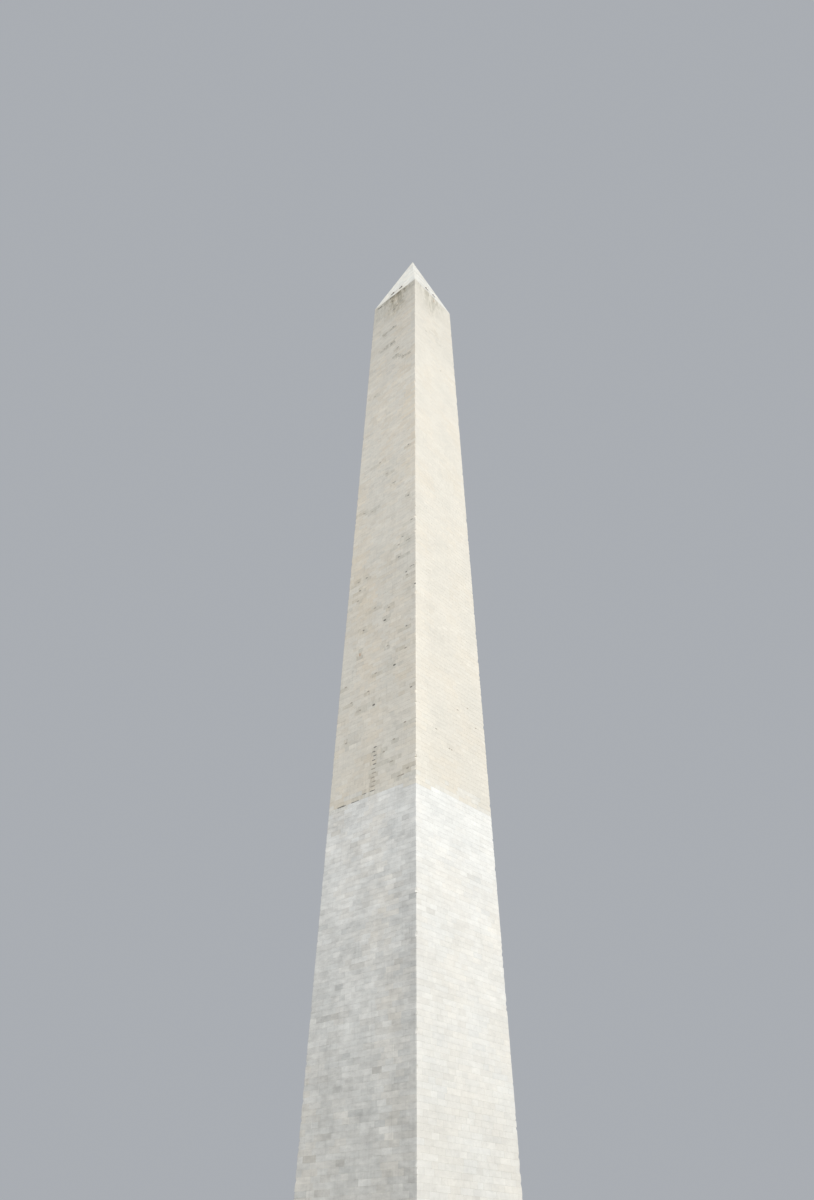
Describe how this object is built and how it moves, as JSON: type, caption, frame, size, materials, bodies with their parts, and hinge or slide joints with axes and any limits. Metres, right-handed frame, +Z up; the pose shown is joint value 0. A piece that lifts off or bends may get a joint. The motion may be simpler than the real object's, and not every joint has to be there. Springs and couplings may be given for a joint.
{
  "type": "masonry obelisk, 1:10 scale model",
  "caption": "Tall square tapering marble obelisk, hollow inside, pale below and tan above, with a steep pyramidion that has small windows; a 1:10 scale model.",
  "frame": {"origin": "centre of the base at ground level, on the underside of the ground floor and walls", "axes": "+Z up the centre line of the shaft to the tip, +X out of the doorway side (called east), -Y the south side"},
  "size_m": [1.68, 1.68, 16.905],
  "materials": {
    "white_marble": "weathered",
    "tan_marble": "weathered",
    "slab_marble": "weathered",
    "granite": "honed",
    "window_metal": "satin",
    "window_glass": "polished",
    "lamp_red": "gloss",
    "tip_metal": "polished"
  },
  "bodies": {
    "root": {"ground_floor": "granite", "lower_wall_north": "white_marble", "lower_wall_south": "white_marble", "lower_wall_west": "white_marble", "lower_wall_east_left": "white_marble", "lower_wall_east_right": "white_marble", "lower_wall_over_doorway": "white_marble", "upper_wall_north": "tan_marble", "upper_wall_east": "tan_marble", "upper_wall_south": "tan_marble", "upper_wall_west": "tan_marble", "top_wall_north": "tan_marble", "top_wall_east": "tan_marble", "top_wall_south": "tan_marble", "top_wall_west": "tan_marble", "observation_floor": "granite", "windowed_slabs_north": "slab_marble", "windowed_slabs_east": "slab_marble", "windowed_slabs_south": "slab_marble", "windowed_slabs_west": "slab_marble", "upper_slabs_north": "slab_marble", "upper_slabs_east": "slab_marble", "upper_slabs_south": "slab_marble", "upper_slabs_west": "slab_marble", "centre_ribs": "slab_marble", "hip_ribs": "slab_marble", "window_frames_north": "window_metal", "window_frames_east": "window_metal", "window_frames_south": "window_metal", "window_frames_west": "window_metal", "window_glass_north": "window_glass", "window_glass_east": "window_glass", "window_glass_south": "window_glass", "window_glass_west": "window_glass", "warning_lights": "lamp_red", "capstone": "slab_marble", "metal_tip": "tip_metal"}
  },
  "joints": []
}
